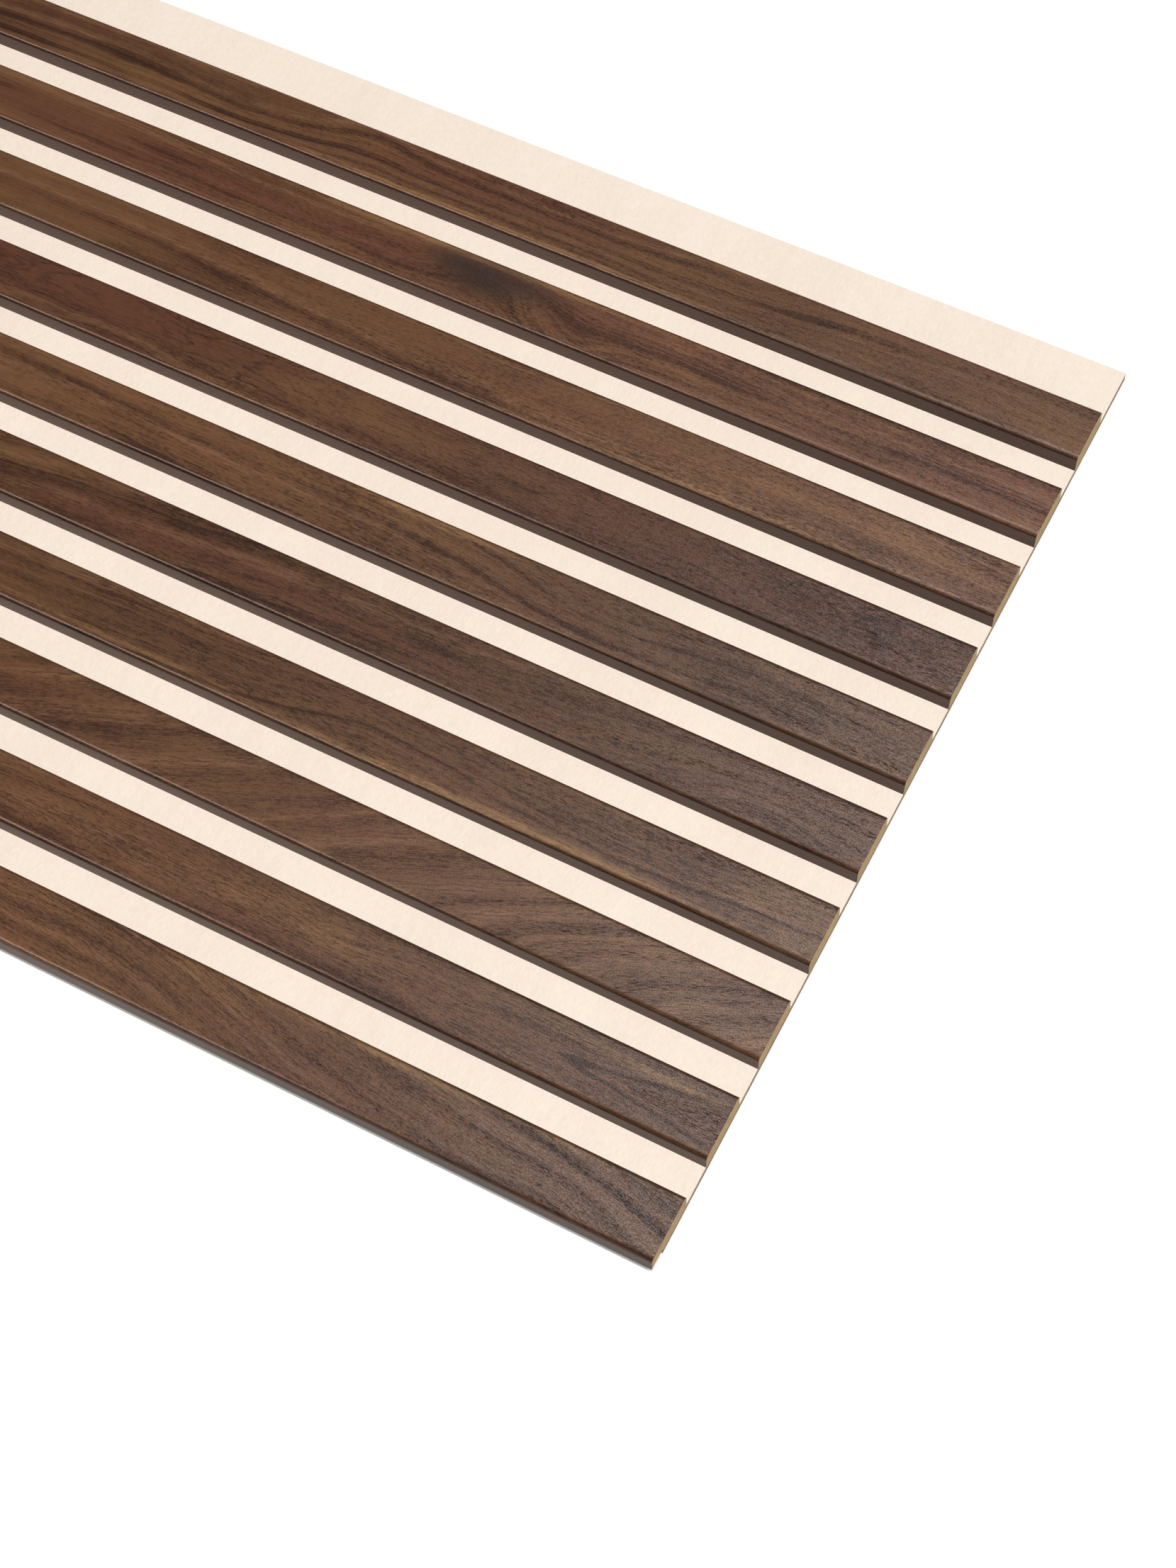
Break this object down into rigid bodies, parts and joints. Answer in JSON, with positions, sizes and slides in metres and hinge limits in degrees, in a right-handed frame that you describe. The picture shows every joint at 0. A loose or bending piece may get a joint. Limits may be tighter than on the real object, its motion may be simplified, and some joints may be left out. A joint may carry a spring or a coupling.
{
  "type": "slat wall panel",
  "caption": "Slat wall panel: parallel walnut-grained slats with rounded top edges on a thin cream-faced board, with a bare lap margin on one side and an overhanging slat on the other.",
  "frame": {"origin": "middle of the panel's outline, on its back face", "axes": "+X along the slats, +Y across them towards the bare lap margin, +Z out of the slats' front"},
  "size_m": [2.4, 0.619, 0.018],
  "materials": {
    "foil": "dark walnut grain, satin, with open pores",
    "core": "sawn fibreboard, matt",
    "board": "brown hardboard, matt",
    "face": "smooth cream sheet with very fine streaks, matt"
  },
  "bodies": {
    "root": {"back_board": "board", "face_sheet": "face", "slat_core_01": "core", "slat_core_02": "core", "slat_core_03": "core", "slat_core_04": "core", "slat_core_05": "core", "slat_core_06": "core", "slat_core_07": "core", "slat_core_08": "core", "slat_core_09": "core", "slat_core_10": "core", "slat_foil_01": "foil", "slat_foil_02": "foil", "slat_foil_03": "foil", "slat_foil_04": "foil", "slat_foil_05": "foil", "slat_foil_06": "foil", "slat_foil_07": "foil", "slat_foil_08": "foil", "slat_foil_09": "foil", "slat_foil_10": "foil"}
  },
  "joints": []
}
